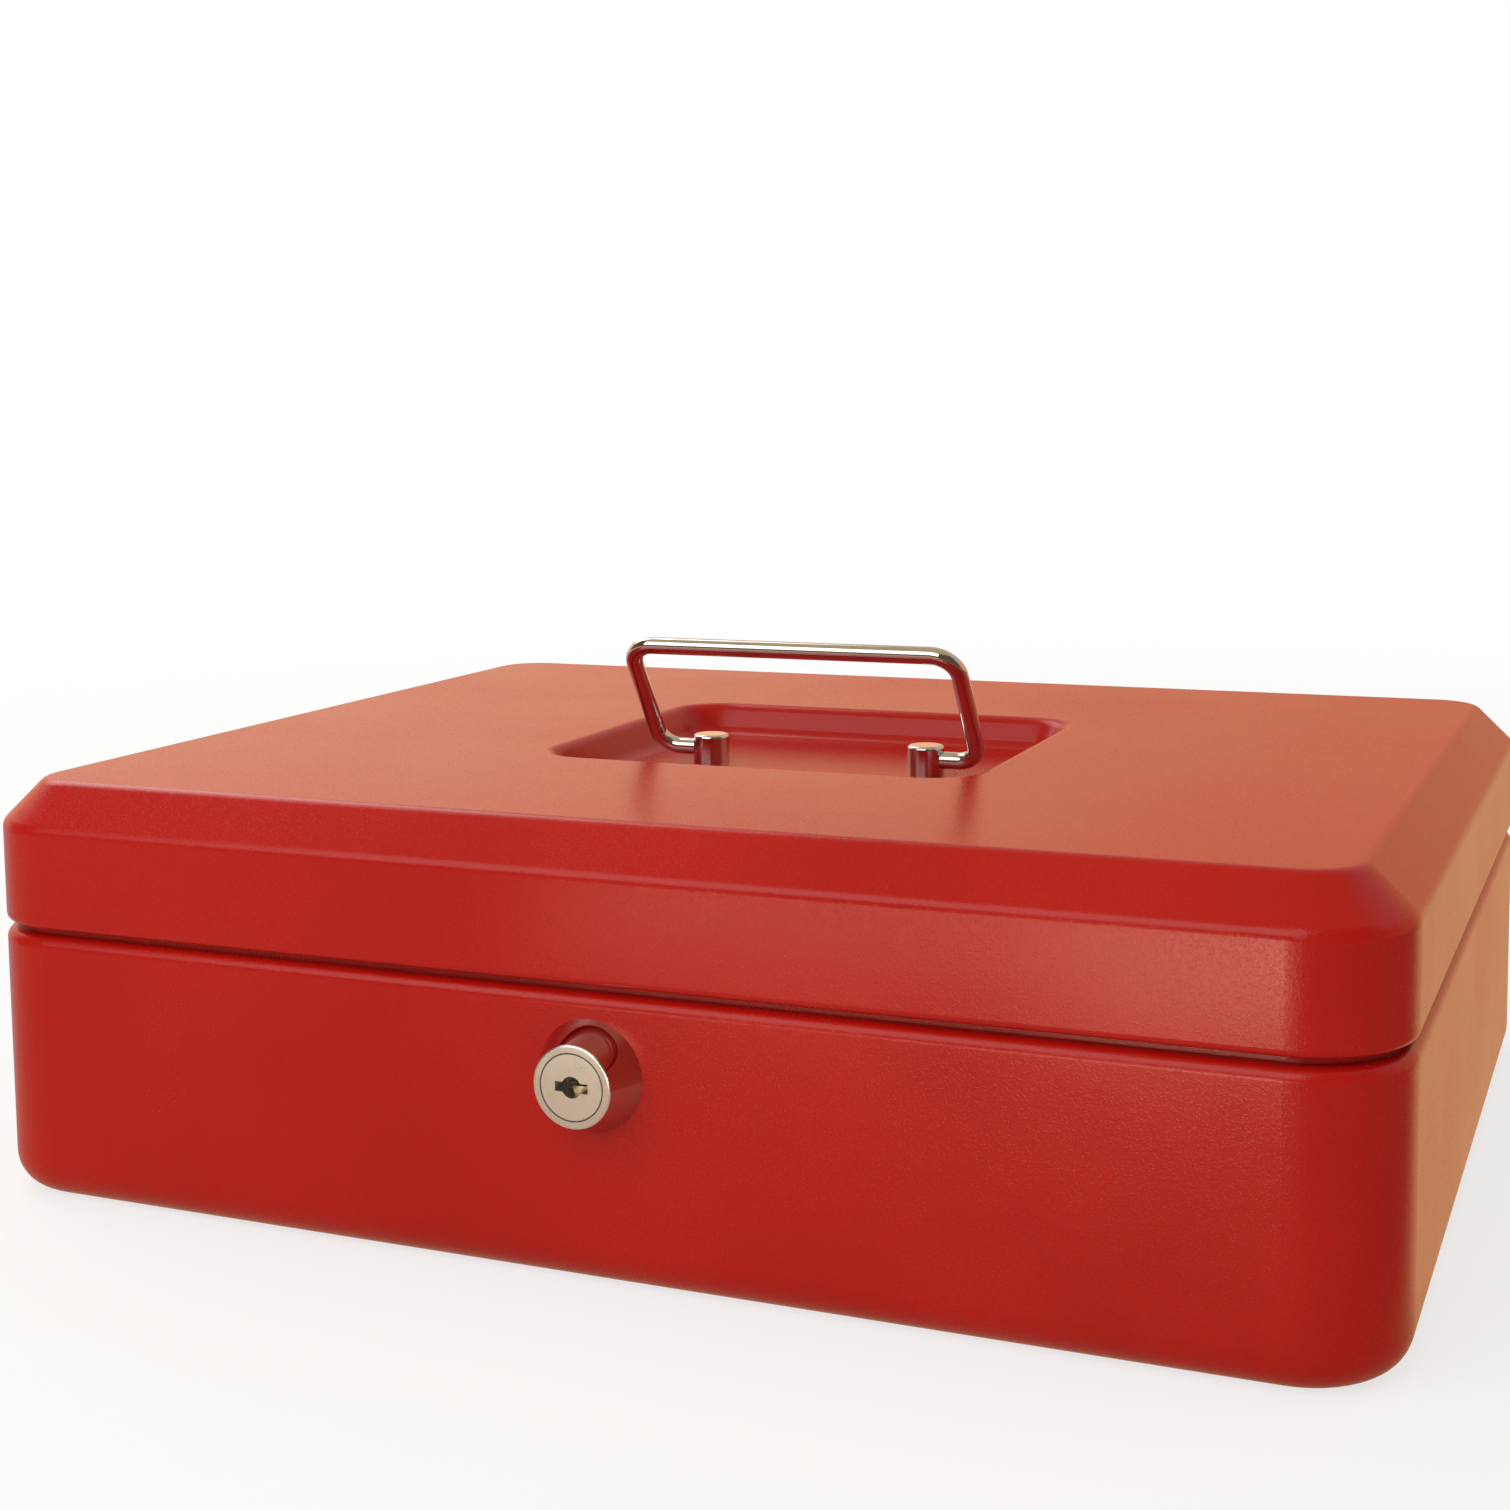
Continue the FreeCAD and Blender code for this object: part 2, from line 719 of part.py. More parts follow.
def handle_bail():
    """A bent wire: both feet turned in to the posts, two legs and a straight grip."""
    body = new_body("handle_bail")
    tip = s.post_spacing / 2 + post_radius - s.socket_depth + s.socket_end_gap
    foot = leg_x - s.foot_bend
    grip = leg_x - s.grip_bend
    bend_top = s.bail_reach - s.grip_bend
    runs = [
        ((-tip, 0), (-foot, 0)),
        ((-leg_x, s.foot_bend), (-leg_x, bend_top)),
        ((-grip, s.bail_reach), (grip, s.bail_reach)),
        ((leg_x, bend_top), (leg_x, s.foot_bend)),
        ((foot, 0), (tip, 0)),
    ]
    bends = [
        ((-foot, s.foot_bend), s.foot_bend, 180),
        ((-grip, bend_top), s.grip_bend, 90),
        ((grip, bend_top), s.grip_bend, 0),
        ((foot, s.foot_bend), s.foot_bend, -90),
    ]
    spine = sketch_on(body, "XZ_Plane")
    for start, end in runs:
        points = [Vector(number_of(x), number_of(y)) for x, y in (start, end)]
        line = spine.addGeometry(Part.LineSegment(*points))
        pin_point(spine, line, 1, *start)
        pin_point(spine, line, 2, *end)
    for index, ((x, y), radius, start) in enumerate(bends):
        bend = Part.Circle(Vector(x.number, y.number), ABOUT_Z, radius.number)
        angles = [math.radians(start), math.radians(start + 90)]
        arc = spine.addGeometry(Part.ArcOfCircle(bend, *angles))
        constrain(spine, "Coincident", arc, 1, index + 1, 1)
        constrain(spine, "Tangent", index, 2, arc, 2)
    section = sketch_on(body, "YZ_Plane", -tip)
    circle(section, 0, 0, s.wire_diameter)
    wire = body.newObject("PartDesign::AdditivePipe", "handle_bail_wire")
    wire.Profile = section
    wire.Spine = (spine, [])
    doc.recompute()
    bind(body, "Placement.Rotation.Angle", s.bail_lean)
    return place(body, 0, 0, pivot_height, Rotation(ABOUT_X, s.bail_lean.number))


def in_lock(piece):
    """Seats a lock piece: its Z runs from the box's front wall inwards."""
    return place(piece, 0, -s.depth / 2, lock_height, INTO_FRONT)


def lock_housing():
    """Tapered collar outside the wall, barrel inside, bored for the plug."""
    face = -s.collar_stand
    head_radius = s.plug_head / 2 + s.running_gap
    bore_radius = plug_body / 2 + s.running_gap
    step = face + s.plug_head_length
    housing = turned("lock_housing", [
        (head_radius, face),
        (collar_face / 2, face),
        (collar_face / 2 + s.collar_taper, 0),
        (barrel / 2, 0),
        (barrel / 2, s.barrel_length),
        (bore_radius, s.barrel_length),
        (bore_radius, step),
        (head_radius, step),
    ])
    round_rim(housing, collar_face, face, s.collar_edge)
    return in_lock(housing)


def keyhole(sketch, room):
    """A slot across a round eye, wider than the key by some room on each side."""
    half = s.keyhole_length / 2 + room
    lift = s.keyhole_width / 2 + room
    rectangle(sketch, -half, half, -lift, lift)


def wafer_places():
    """Where each wafer's front face lies along the lock."""
    first = s.wafer_start - s.collar_stand
    return [first + s.wafer_pitch * index for index in range(SIZES["wafer_count"])]


def lock_plug():
    """The turning core: head, slotted body for the wafers, square tang and tapped end."""
    face = -s.collar_stand
    step = face + s.plug_head_length - s.running_gap
    plug = turned("lock_plug", [
        (0, face),
        (s.plug_head / 2, face),
        (s.plug_head / 2, step),
        (plug_body / 2, step),
        (plug_body / 2, cam_front),
        (0, cam_front),
    ])
    half = s.tang / 2
    sketch = sketch_on(plug, "XY_Plane", cam_front)
    rectangle(sketch, -half, half, -half, half)
    pad(plug, sketch, s.cam_thickness - s.hole_gap)
    sketch = sketch_on(plug, "XY_Plane", cam_back)
    circle(sketch, 0, 0, s.screw_diameter + s.hole_gap * 2)
    pocket(plug, sketch, s.screw_length)
    sketch = sketch_on(plug, "XY_Plane", face)
    keyhole(sketch, 0)
    pocket(plug, sketch, s.keyhole_depth, backwards=True)
    sketch = sketch_on(plug, "XY_Plane", face)
    circle(sketch, 0, 0, s.keyhole_eye)
    pocket(plug, sketch, s.keyhole_depth, backwards=True)
    sketch = sketch_on(plug, "XZ_Plane")
    half = s.wafer_width / 2 + s.running_gap
    for front in wafer_places():
        low = front - s.running_gap
        high = front + s.wafer_thickness + s.running_gap
        rectangle(sketch, -plug_body, plug_body, low, high)
    pocket(plug, sketch, half * 2, both_ways=True)
    return in_lock(plug)


def lock_wafers():
    """Thin sliding plates that ride the key, drawn level with the plug."""
    wafers = []
    lift = s.wafer_width / 2
    half = root_of(plug_body * plug_body / 4 - lift * lift) - s.wafer_end_gap
    for front in wafer_places():
        wafer = new_body("lock_wafer")
        sketch = sketch_on(wafer, "XY_Plane", front)
        rectangle(sketch, -half, half, -lift, lift)
        pad(wafer, sketch, s.wafer_thickness)
        sketch = sketch_on(wafer, "XY_Plane", front)
        keyhole(sketch, s.hole_gap)
        pocket(wafer, sketch, s.wafer_thickness, backwards=True)
        wafers.append(in_lock(wafer))
    return group("lock_wafers", wafers)


def lock_washer():
    outer = barrel_hole + s.lock_washer_rim * 2
    washer = ring("lock_washer", barrel_hole, outer, s.lock_washer_thickness)
    return place(washer, 0, -s.depth / 2 + s.sheet, lock_height, INTO_FRONT)


def lock_nut():
    nut = new_body("lock_nut")
    seat = s.sheet + s.lock_washer_thickness
    sketch = sketch_on(nut, "XY_Plane", seat)
    flat = barrel_hole / 2 + s.nut_wall
    corner = flat * 2 / math.sqrt(3)
    polygon(sketch, [
        (corner, 0), (corner / 2, flat), (-corner / 2, flat),
        (-corner, 0), (-corner / 2, -flat), (corner / 2, -flat),
    ])
    circle(sketch, 0, 0, barrel_hole)
    pad(nut, sketch, s.nut_thickness)
    return in_lock(nut)


def lock_cam():
    """A hooked plate on the plug's tang; a quarter turn brings its hook over the catch's foot."""
    outside = cam_inside + s.cam_hook
    hook = rod("lock_cam_hook", outside * 2, s.cam_thickness)
    bind(hook, "Angle", s.cam_sweep)
    bind(hook, "Placement.Rotation.Angle", s.cam_start)
    place(hook, z=cam_front, rotation=Rotation(ABOUT_Z, s.cam_start.number))
    inside = rod("lock_cam_inside", cam_inside * 2, s.cam_thickness, z=cam_front)
    hook = cut_from("lock_cam_crescent", hook, inside)
    hub = rod("lock_cam_hub", s.cam_hub, s.cam_thickness, z=cam_front)
    reach = cam_inside + s.cam_hook / 2
    arm = block("lock_cam_arm", 0, 0, cam_front, reach, s.cam_arm, s.cam_thickness)
    bind(arm, "Placement.Rotation.Angle", s.cam_start)
    place(arm, z=cam_front, rotation=Rotation(ABOUT_Z, s.cam_start.number))
    side = s.tang + s.running_gap * 2
    hole = block("lock_cam_hole", -side / 2, -side / 2, cam_front, side, side, s.cam_thickness)
    plate = joined("lock_cam_plate", [hook, hub, arm])
    cam = cut_from("lock_cam", plate, hole)
    cam.Label = "lock_cam"
    return in_lock(cam)


def cam_screw():
    screw = turned("cam_screw", [
        (0, cam_back - s.screw_length + s.hole_gap),
        (s.screw_diameter / 2, cam_back - s.screw_length + s.hole_gap),
        (s.screw_diameter / 2, cam_back),
        (s.screw_head / 2, cam_back),
        (s.screw_head / 2, lock_back),
        (0, lock_back),
    ])
    round_rim(screw, s.screw_head, lock_back, s.screw_head_round)
    return in_lock(screw)


def lid_catch():
    """A bent strip welded inside the lid's front, over the rim and down to a foot."""
    body = new_body("lid_catch")
    wall = s.sheet - s.depth / 2
    leg = rim_inner + s.catch_rim_gap - s.depth / 2
    bridge = rim_top + s.catch_bridge_rise
    weld_top = bevel_start - s.catch_top_gap
    foot = lock_height + s.catch_foot_rise
    toe = cam_back + s.catch_foot_overlap - s.depth / 2
    thick = s.catch_sheet
    sketch = sketch_on(body, "YZ_Plane", -s.catch_width / 2)
    polygon(sketch, [
        (wall, bridge),
        (leg, bridge),
        (leg, foot - thick),
        (toe, foot - thick),
        (toe, foot),
        (leg + thick, foot),
        (leg + thick, bridge + thick),
        (wall + thick, bridge + thick),
        (wall + thick, weld_top),
        (wall, weld_top),
    ])
    pad(body, sketch, s.catch_width)
    return body


def level_edges(feature, height):
    """Names of all the feature's edges that lie level at a height."""
    return [
        f"Edge{index}"
        for index, edge in enumerate(feature.Shape.Edges, start=1)
        if edge.BoundBox.ZLength < TOUCH and abs(edge.CenterOfMass.z - height.number) < TOUCH
    ]


def draw_row(sketch, width, count, front, back):
    """A row of equal compartments across the tray, with its wall between them."""
    cell = (width - s.tray_wall) / count - s.tray_wall
    cup = Outline(cell, back - front, s.cup_corner)
    for index in range(count):
        middle = (cell + s.tray_wall) * (index + 0.5 - count / 2)
        cup.draw(sketch, middle, (front + back) / 2)


def coin_tray():
    """A moulded tray: flange on the rim, round coin cups in front and note bays behind."""
    body = new_body("coin_tray")
    wall = s.tray_wall
    front = lock_back + s.tray_lock_gap - s.depth / 2
    back = s.depth / 2 - rim_inner - s.tray_side_gap
    width = s.width - (rim_inner + s.tray_side_gap) * 2
    top = rim_top + wall
    floor = top - s.tray_height
    basin = Outline(width, back - front, s.cup_corner + wall)
    sketch = sketch_on(body, "XY_Plane", floor)
    basin.draw(sketch, 0, (front + back) / 2)
    pad(body, sketch, s.tray_height)
    sketch = sketch_on(body, "XY_Plane", rim_top)
    box_outline.inset(rim_inset + s.tray_rim_margin).draw(sketch)
    pad(body, sketch, wall)
    cups_back = front + wall + s.cup_length
    sketch = sketch_on(body, "XY_Plane", top)
    draw_row(sketch, width, SIZES["cup_count"], front + wall, cups_back)
    draw_row(sketch, width, SIZES["bay_count"], cups_back + wall, back - wall)
    form = pocket(body, sketch, s.tray_height - wall)
    form = fillet(body, form, level_edges(form, floor + wall), s.cup_scoop)
    fillet(body, form, level_edges(form, floor), s.cup_scoop + wall)
    half = s.catch_width / 2 + s.catch_slot_room
    sketch = sketch_on(body, "XY_Plane", top)
    rectangle(sketch, -half, half, -s.depth / 2, front)
    pocket(body, sketch, wall * 2)
    return body


nodes = [body_shell(), lid_shell()]
for name, side in SIDES:
    nodes.append(hinge_leaf(f"hinge_leaf_box_{name}", False, BOX_KNUCKLES, side))
    nodes.append(hinge_leaf(f"hinge_leaf_lid_{name}", True, LID_KNUCKLES, side))
    nodes.append(hinge_pin(f"hinge_pin_{name}", side))
    nodes.append(handle_post(f"handle_post_{name}", side))
nodes.append(hinge_rivets("hinge_rivets_box", hinge_z - rivet_rise))
nodes.append(hinge_rivets("hinge_rivets_lid", hinge_z + rivet_rise))
nodes += [post_washers(), handle_bail(), lock_housing(), lock_plug(), lock_wafers()]
nodes += [lock_washer(), lock_nut(), lock_cam(), cam_screw(), lid_catch(), coin_tray()]
doc.recompute()

for item in doc.Objects:
    if "Invalid" in item.State or "Error" in item.State:
        raise ValueError(f"{item.Label} did not build")
for node in nodes:
    if node.Shape.isNull() or not node.Shape.isValid():
        raise ValueError(f"{node.Label} has a bad shape")

os.makedirs("parts", exist_ok=True)
for node in nodes:
    node.Shape.exportStep(f"parts/{node.Label}.step")
    print(f"{node.Label}: {len(node.Shape.Solids)} solids, {node.Shape.Volume:.1f} mm3")
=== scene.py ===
# %% [markdown]
# # A red steel cash box
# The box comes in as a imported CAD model: every piece already has its place, its
# size and its joint. This lesson adds what a CAD model lacks, which is the look
# of each surface, a plain studio and the camera. Blender moves and resizes no
# CAD piece here, so the first step only loads the frame and notes its size.

# %% Load the frame
import json
import math

import bpy
from mathutils import Matrix, Vector


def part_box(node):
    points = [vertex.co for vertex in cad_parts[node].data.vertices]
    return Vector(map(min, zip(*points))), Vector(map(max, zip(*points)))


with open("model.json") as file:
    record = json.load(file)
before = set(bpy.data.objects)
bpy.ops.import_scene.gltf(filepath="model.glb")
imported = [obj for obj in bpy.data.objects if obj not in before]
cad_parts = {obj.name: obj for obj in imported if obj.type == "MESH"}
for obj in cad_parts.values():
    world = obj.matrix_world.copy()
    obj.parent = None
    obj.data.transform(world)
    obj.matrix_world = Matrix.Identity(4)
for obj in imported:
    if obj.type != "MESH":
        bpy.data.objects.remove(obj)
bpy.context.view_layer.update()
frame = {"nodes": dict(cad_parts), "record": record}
MM = 0.001
scene = bpy.context.scene
scene.view_settings.view_transform = "Standard"

# %% [markdown]
# ## The camera
# The camera stands in front of the right corner, a little above the lid and close
# enough for strong perspective. Its place and angles come from fitting the box's
# straight edges. It could be aimed with a constraint, but three angles say plainly
# where it looks: heading is measured from straight back, tilt is downwards, and
# roll leans the picture a little.

# %% Camera
PICTURE_PIXELS = 1510
FOCAL_PIXELS = 2238.5
SENSOR_WIDTH = 36.0
CAMERA_PLACE = Vector((191.3, -490.0, 171.5)) * MM
HEADING = math.radians(-22.88)
TILT = math.radians(5.817)
ROLL = math.radians(0.649)
OPTICAL_AXIS_ROW = 620


def camera_axes():
    """Right, up and backward directions of the camera."""
    ahead = Vector((
        math.sin(HEADING) * math.cos(TILT),
        math.cos(HEADING) * math.cos(TILT),
        -math.sin(TILT),
    ))
    level = ahead.cross(Vector((0, 0, 1))).normalized()
    down = ahead.cross(level)
    right = math.cos(ROLL) * level + math.sin(ROLL) * down
    return right, -ahead.cross(right), -ahead


lens = bpy.data.cameras.new("camera")
lens.sensor_width = SENSOR_WIDTH
lens.lens = SENSOR_WIDTH * FOCAL_PIXELS / PICTURE_PIXELS
lens.shift_y = (OPTICAL_AXIS_ROW - PICTURE_PIXELS / 2) / PICTURE_PIXELS
camera = bpy.data.objects.new("camera", lens)
turn = Matrix(camera_axes()).transposed()
camera.matrix_world = Matrix.Translation(CAMERA_PLACE) @ turn.to_4x4()
scene.collection.objects.link(camera)
scene.camera = camera
print("lens:", round(lens.lens, 2), "mm")

# %% [markdown]
# ## Writing shader nodes as sums
# A finish is a small web of nodes. Adding and wiring each Math node by hand hides
# the idea, so a socket is wrapped in a class with operators: `1 - mask * 0.3` then
# adds its own nodes. Every other node comes from one method that sets the node's
# own settings first and then its sockets.

# %% Socket sums
class Wire:
    """An output socket that takes part in sums."""

    def __init__(self, web, socket):
        self.web = web
        self.socket = socket

    def math(self, operation, first, second=0.0):
        return self.web.node("ShaderNodeMath", {"operation": operation}, {0: first, 1: second})

    def __add__(self, other):
        return self.math("ADD", self, other)

    def __sub__(self, other):
        return self.math("SUBTRACT", self, other)

    def __rsub__(self, other):
        return self.math("SUBTRACT", other, self)

    def __mul__(self, other):
        return self.math("MULTIPLY", self, other)

    def larger(self, other):
        return self.math("MAXIMUM", self, other)

    def sine(self):
        return self.math("SINE", self)

    __radd__ = __add__
    __rmul__ = __mul__


class Web:
    """A node tree that is filled by calls."""

    def __init__(self, tree):
        self.tree = tree
        tree.nodes.clear()

    def node(self, kind, settings, sockets, output=0):
        """Adds a node: its settings first, then values or wires for its sockets."""
        made = self.tree.nodes.new(kind)
        for name, value in settings.items():
            setattr(made, name, value)
        for key, value in sockets.items():
            if isinstance(value, Wire):
                self.tree.links.new(value.socket, made.inputs[key])
            else:
                made.inputs[key].default_value = value
        return Wire(self, made.outputs[output]) if made.outputs else made

    def vector(self, operation, sockets, output="Vector"):
        return self.node("ShaderNodeVectorMath", {"operation": operation}, sockets, output)

    def axis(self, vector, name):
        """One coordinate of a vector: X, Y or Z."""
        return self.node("ShaderNodeSeparateXYZ", {}, {"Vector": vector}, name)

    def ray(self, name):
        """One where the light ray is of the named kind, nought elsewhere."""
        return self.node("ShaderNodeLightPath", {}, {}, f"Is {name} Ray")

    def between(self, value, low, high, start=0.0, end=1.0):
        """Maps a value from low..high to start..end and holds it there."""
        sockets = {"Value": value, 1: low, 2: high, 3: start, 4: end}
        settings = {"interpolation_type": "SMOOTHSTEP", "clamp": True}
        return self.node("ShaderNodeMapRange", settings, sockets)

    def blend(self, factor, first, second):
        """Mixes two colours: inputs 6 and 7 of a Mix node are its colours."""
        sockets = {0: factor, 6: first, 7: second}
        return self.node("ShaderNodeMix", {"data_type": "RGBA"}, sockets, 2)


class Finish(Web):
    """A material with the helpers that its surface needs."""

    def __init__(self, name):
        self.material = bpy.data.materials.new(name)
        self.material.use_nodes = True
        super().__init__(self.material.node_tree)
        self.place = self.node("ShaderNodeTexCoord", {}, {}, "Object")

    def noise(self, grain, detail, place=None):
        """Soft random values; grain is the size of a patch in metres."""
        sockets = {"Vector": place or self.place, "Scale": 1 / grain, "Detail": detail}
        return self.node("ShaderNodeTexNoise", {}, sockets, "Fac")

    def bump(self, height, depth, strength):
        """A Normal from a height of 0..1 that stands for a depth in metres."""
        sockets = {"Height": height, "Distance": depth, "Strength": strength}
        return self.node("ShaderNodeBump", {}, sockets, "Normal")

    def surface(self, sockets):
        """Ends the web with a Principled shader and hands back the material."""
        shader = self.node("ShaderNodeBsdfPrincipled", {}, sockets, "BSDF")
        return self.output(shader)

    def output(self, shader):
        self.node("ShaderNodeOutputMaterial", {}, {"Surface": shader})
        return self.material


def tell(finish):
    """Prints a finish that has just been made."""
    print("finish:", finish.name, "with", len(finish.node_tree.nodes), "nodes")


print("socket sums ready")

# %% [markdown]
# ## Red powder coat
# The sheet is sprayed with dry paint that melts in an oven. The melt doesn't lie
# quite flat: it leaves a fine orange peel about a millimetre across, with a still
# finer grain on top, and both break up the satin gloss. Image textures could carry
# that, but noise in the object's own metres needs no unwrapping and keeps its scale
# on every wall. A low index keeps the front deep red while the lid's top still
# turns pale where it is seen at a low angle.

# %% Red powder coat
PEEL_SIZE = 1.1 * MM
GRAIN_SIZE = 0.42 * MM
CLOUD_SIZE = 60 * MM
PEEL_DEPTH = 0.040 * MM
SPECK_EDGES = (0.50, 0.72)
CLOUD_EDGES = (0.3, 0.7)
SPECK_SHARE = 0.06
COAT_INDEX = 1.36
COAT_ROUGHNESS = 0.22
TONE_ROUGHNESS = 0.04
SPECK_ROUGHNESS = 0.03
DEEP_RED = (0.395, 0.0045, 0.0022, 1)
WARM_RED = (0.435, 0.0062, 0.0032, 1)
SPECK_RED = (0.52, 0.020, 0.012, 1)


def powder_coat():
    finish = Finish("red_powder_coat")
    peel = finish.noise(PEEL_SIZE, detail=1.0)
    grain = finish.noise(GRAIN_SIZE, detail=1.0)
    cloud = finish.noise(CLOUD_SIZE, detail=3.0)
    tone = finish.between(cloud, *CLOUD_EDGES)
    speck = finish.between(grain, *SPECK_EDGES)
    red = finish.blend(tone, DEEP_RED, WARM_RED)
    red = finish.blend(speck * SPECK_SHARE, red, SPECK_RED)
    rough = COAT_ROUGHNESS + tone * TONE_ROUGHNESS + speck * SPECK_ROUGHNESS
    normal = finish.bump(peel * 0.5 + speck * 0.5, PEEL_DEPTH, strength=0.7)
    return finish.surface({
        "Base Color": red, "Roughness": rough, "IOR": COAT_INDEX, "Normal": normal,
    })


red_coat = powder_coat()
tell(red_coat)

# %% [markdown]
# ## Bright chrome
# The bail, its posts and the lock's collar are plated and polished. Chrome has no
# colour of its own, only reflections, so what makes it believable is a very low
# roughness that isn't quite even: faint handling haze and hairline scratches. The
# flat rim of the collar is only faced on a lathe, so it stays satin and paler. It
# could have a slot of its own, but its distance from the housing's front end picks
# it out as well, and no other chrome piece reaches that far forward.

# %% Bright chrome
HAZE_SIZE = 7 * MM
HAZE_EDGES = (0.45, 0.75)
HAIRLINE_WIDTH = 0.25 * MM
HAIRLINE_DEPTH = 0.0012 * MM
HAIRLINE_STRETCH = (0.08, 1.0, 1.0)
RIM_START = 0.05 * MM
RIM_END = 0.20 * MM
CHROME_ROUGHNESS = 0.05
HAZE_ROUGHNESS = 0.07
RIM_ROUGHNESS = 0.20
CLEAR_CHROME = (0.62, 0.63, 0.64, 1)
HAZY_CHROME = (0.55, 0.56, 0.57, 1)
FACED_RIM = (0.72, 0.75, 0.77, 1)


def bright_chrome():
    finish = Finish("bright_chrome")
    haze = finish.between(finish.noise(HAZE_SIZE, detail=3.0), *HAZE_EDGES)
    sockets = {"Vector": finish.place, "Scale": HAIRLINE_STRETCH}
    stretch = finish.node("ShaderNodeMapping", {}, sockets, "Vector")
    hairline = finish.noise(HAIRLINE_WIDTH, detail=1.0, place=stretch)
    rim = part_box("lock_housing")[0].y
    depth = finish.axis(finish.place, "Y")
    faced = finish.between(depth, rim + RIM_START, rim + RIM_END, start=1.0, end=0.0)
    shade = finish.blend(haze, CLEAR_CHROME, HAZY_CHROME)
    shade = finish.blend(faced, shade, FACED_RIM)
    rough = CHROME_ROUGHNESS + haze * HAZE_ROUGHNESS + faced * RIM_ROUGHNESS
    normal = finish.bump(hairline, HAIRLINE_DEPTH, strength=0.05)
    return finish.surface({
        "Base Color": shade, "Metallic": 1.0, "Roughness": rough, "Normal": normal,
    })


chrome = bright_chrome()
tell(chrome)

# %% [markdown]
# ## Satin nickel with turning marks
# The lock's core is faced on a lathe, so very fine rings run round its axis, and
# a dark, duller band is painted along the narrow seam at its edge as the seam's shade. The
# rings need only the distance from that axis, which comes from the piece's own box, so no texture
# space is set up.

# %% Satin nickel
RING_PITCH = 0.16 * MM
RING_DEPTH = 0.002 * MM
SEAM_INNER = 0.40 * MM
SEAM_OUTER = 0.12 * MM
SEAM_DULLING = 0.6
MOTTLE_SIZE = 2.5 * MM
NICKEL_ROUGHNESS = 0.24
MOTTLE_ROUGHNESS = 0.10
SEAM_ROUGHNESS = 0.3
DULL_NICKEL = (0.69, 0.73, 0.74, 1)
PALE_NICKEL = (0.75, 0.79, 0.80, 1)
# Painted shade: the near-black that the band along the plug's seam takes.
PAINTED_SEAM_SHADE = (0.05, 0.045, 0.04, 1)


def satin_nickel():
    finish = Finish("satin_nickel")
    low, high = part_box("lock_plug")
    middle = (low + high) / 2
    edge = (high.x - low.x) / 2
    shift = (-middle.x, 0, -middle.z)
    flat = finish.vector("MULTIPLY_ADD", {0: finish.place, 1: (1, 0, 1), 2: shift})
    radius = finish.vector("LENGTH", {0: flat}, "Value")
    rings = (radius * (2 * math.pi / RING_PITCH)).sine() * 0.5 + 0.5
    # Painted shade: a band at the plug's edge turns near-black, duller and rougher, standing in
    # for the shadow in the narrow seam.
    seam = finish.between(radius, edge - SEAM_INNER, edge - SEAM_OUTER)
    mottle = finish.noise(MOTTLE_SIZE, detail=3.0)
    shade = finish.blend(mottle, DULL_NICKEL, PALE_NICKEL)
    shade = finish.blend(seam, shade, PAINTED_SEAM_SHADE)
    metal = 1.0 - seam * SEAM_DULLING
    rough = NICKEL_ROUGHNESS + mottle * MOTTLE_ROUGHNESS + seam * SEAM_ROUGHNESS
    normal = finish.bump(rings, RING_DEPTH, strength=0.5)
    return finish.surface({
        "Base Color": shade, "Metallic": metal, "Roughness": rough, "Normal": normal,
    })


nickel = satin_nickel()
tell(nickel)

# %% [markdown]
# ## Zinc-plated steel
# Hinges, rivets, washers, nut, cam and catch are plain steel with a thin zinc plating.
# It is greyer and duller than chrome, with a cloudy, slightly blue bloom. One flat grey
# would read as plastic, so a wide noise carries the bloom and a fine one the grain.

# %% Zinc-plated steel
BLOOM_SIZE = 9 * MM
BLOOM_EDGES = (0.35, 0.65)
ZINC_GRAIN_SIZE = 0.6 * MM
ZINC_GRAIN_DEPTH = 0.006 * MM
ZINC_ROUGHNESS = 0.30
BLOOM_ROUGHNESS = 0.12
ZINC_GRAIN_ROUGHNESS = 0.08
BLUE_ZINC = (0.47, 0.51, 0.55, 1)
GREY_ZINC = (0.54, 0.55, 0.54, 1)


def zinc_steel():
    finish = Finish("zinc_steel")
    bloom = finish.between(finish.noise(BLOOM_SIZE, detail=4.0), *BLOOM_EDGES)
    grain = finish.noise(ZINC_GRAIN_SIZE, detail=3.0)
    shade = finish.blend(bloom, BLUE_ZINC, GREY_ZINC)
    rough = ZINC_ROUGHNESS + bloom * BLOOM_ROUGHNESS + grain * ZINC_GRAIN_ROUGHNESS
    normal = finish.bump(grain, ZINC_GRAIN_DEPTH, strength=0.5)
    return finish.surface({
        "Base Color": shade, "Metallic": 1.0, "Roughness": rough, "Normal": normal,
    })


zinc = zinc_steel()
tell(zinc)

# %% [markdown]
# ## Brass wafers
# The thin plates inside the lock are stamped from brass and left bare. At most a
# little of them shows, deep in the keyhole, so two tones of tarnish are enough and no
# bump is needed.

# %% Brass wafers
TARNISH_SIZE = 1.2 * MM
TARNISH_EDGES = (0.4, 0.7)
BRASS_ROUGHNESS = 0.28
TARNISH_ROUGHNESS = 0.2
BARE_BRASS = (0.55, 0.43, 0.24, 1)
TARNISHED_BRASS = (0.30, 0.22, 0.12, 1)


def brass_wafers():
    finish = Finish("brass_wafers")
    tarnish = finish.between(finish.noise(TARNISH_SIZE, detail=3.0), *TARNISH_EDGES)
    shade = finish.blend(tarnish, BARE_BRASS, TARNISHED_BRASS)
    rough = BRASS_ROUGHNESS + tarnish * TARNISH_ROUGHNESS
    return finish.surface({"Base Color": shade, "Metallic": 1.0, "Roughness": rough})


brass = brass_wafers()
tell(brass)

# %% [markdown]
# ## Moulded tray
# The coin tray is one moulding in black plastic. The mould is spark-eroded, which
# leaves an even fine grain that hides scratches; where coins slide, it is polished.
# The grain is too fine to model, so it is a bump, and the rubbed patches are a wide
# noise that lowers the roughness.

